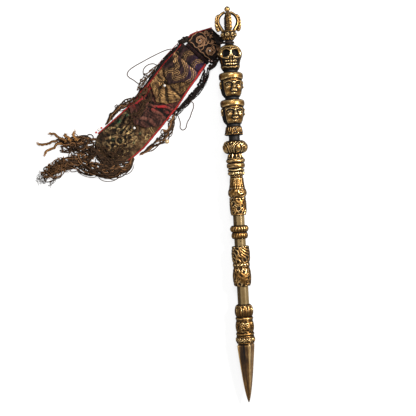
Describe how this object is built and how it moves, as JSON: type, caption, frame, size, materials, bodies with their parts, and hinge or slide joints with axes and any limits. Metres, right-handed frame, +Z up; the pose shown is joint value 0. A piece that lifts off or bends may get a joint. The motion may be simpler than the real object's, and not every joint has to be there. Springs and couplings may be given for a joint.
{
  "type": "khatvanga",
  "caption": "Brass ritual staff with a half vajra, skull, stacked heads, vase, jointed shaft and blade, and a brocade streamer tied at its neck.",
  "frame": {"origin": "on the table under the middle of the part's box, without its loose threads", "axes": "+Y along the staff towards the vajra, +X to the right of the staff, +Z up, the faces looking up"},
  "size_m": [0.2392, 0.4504, 0.0311],
  "materials": {
    "brass": "cast brass, dark patina in the recesses, rubbed bright on the high spots",
    "olive_brass": "filed flat facets, satin, olive brown",
    "iron": "blackened, faint sheen",
    "dark_cord": "twisted dark cord",
    "seed_bead": "small pearl white glass bead",
    "red_bead": "small opaque red glass bead",
    "bone_bead": "cream bead, bone or wood",
    "dark_velvet": "near black brown cloth, matte",
    "couched_cord": "copper gold couched cord",
    "maroon_roll": "rolled maroon brown edge",
    "backing": "brown silk backing",
    "plum_brocade": "plum brocade with flowing gold lines",
    "gold_brocade": "gold and olive brocade",
    "crimson_silk": "crimson silk over brown silk",
    "olive_brocade": "olive gold floral brocade with green leaves",
    "red_piping": "bright red piping",
    "black_cord": "matted black cords, slight sheen",
    "brown_cord": "tangled dark brown cords",
    "ochre_cord": "ochre cords with cut ends"
  },
  "bodies": {
    "staff": {"core_rod": "iron", "blade": "brass", "blade_ring": "brass", "thin_ring": "brass", "carved_bulb": "brass", "lower_ring": "brass", "lotus_bead": "brass", "octagon_shaft_lower": "olive_brass", "barrel_lower": "brass", "barrel_ring": "brass", "barrel_upper": "brass", "octagon_shaft_middle": "olive_brass", "melon_bead": "brass", "octagon_shaft_upper": "olive_brass", "carved_sleeve": "brass", "knob": "brass", "fluted_sleeve": "brass", "moulding_rings": "brass", "vase_foot": "brass", "vase_bulb": "brass", "iron_neck": "iron", "collar": "brass", "neck_spacers": "iron", "head_lower": "brass", "head_upper": "brass", "skull": "brass", "vajra_hub": "brass", "vajra_prongs": "brass", "centre_prong": "brass", "finial_ball": "brass"},
    "tie": {"tie_loop": "dark_cord", "tie_bead": "seed_bead"},
    "cap": {"gathered_cloth": "dark_velvet", "cap_panel": "dark_velvet", "cap_scrolls": "couched_cord", "cap_roll": "maroon_roll"},
    "panel": {"backing_panel": "backing", "tongue_plum": "plum_brocade", "tongue_gold": "gold_brocade", "tongue_crimson": "crimson_silk", "tongue_olive": "olive_brocade", "piping_left": "red_piping", "piping_right": "red_piping", "hair_strip_left": "black_cord", "hair_strip_right": "black_cord", "side_tassel_left": "brown_cord", "side_tassel_right": "brown_cord", "hem_tassel": "brown_cord", "tassel_upper": "brown_cord", "tassel_lower": "ochre_cord", "ochre_cords": "ochre_cord", "pearl_beads": "seed_bead", "red_beads": "red_bead", "cream_bead": "bone_bead", "thread_loop_left": "dark_cord", "thread_loop_small": "dark_cord", "thread_loop_right": "dark_cord"}
  },
  "joints": [
    {"name": "tie_swivel", "type": "hinge", "parent": "staff", "child": "tie", "pos_m": [0.10445, 0.18406, 0.01493], "axis": [0, 0.9999, 0.0136], "continuous": true},
    {"name": "cap_swing", "type": "hinge", "parent": "tie", "child": "cap", "pos_m": [0.09495, 0.18406, 0.01493], "axis": [0, 0, -1], "range_deg": [-12, 30]},
    {"name": "panel_fold", "type": "hinge", "parent": "cap", "child": "panel", "pos_m": [0.06763, 0.17552, 0.0022], "axis": [-0.7071, 0.7071, 0], "range_deg": [0, 90]}
  ]
}
